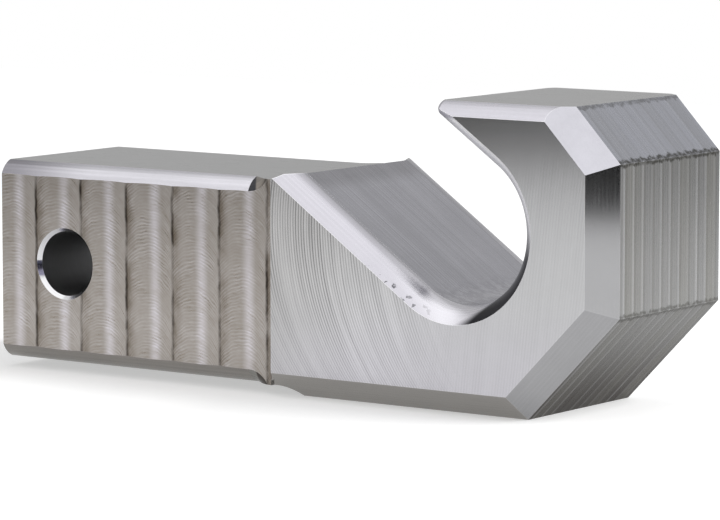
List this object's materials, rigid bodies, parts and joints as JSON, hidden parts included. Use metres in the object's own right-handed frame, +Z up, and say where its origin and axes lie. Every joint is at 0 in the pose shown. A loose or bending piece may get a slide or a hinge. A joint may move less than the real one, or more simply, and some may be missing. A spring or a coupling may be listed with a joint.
{
  "type": "hitch hook",
  "caption": "Square receiver shank, drilled across for a hitch pin, that carries an open hook with a sloping ramp, a round throat and a chamfered back, milled from one billet.",
  "frame": {"origin": "on the plane of the hook's flat base, under the middle of the overall length and width", "axes": "+X runs from the free end of the shank to the back of the hook, +Y across the hook along the pin hole, +Z up, towards the nose"},
  "size_m": [0.1852, 0.0562, 0.0747],
  "materials": {
    "hitch_hook": "bare, as milled"
  },
  "bodies": {
    "root": {"hitch_hook": "hitch_hook"}
  },
  "joints": []
}
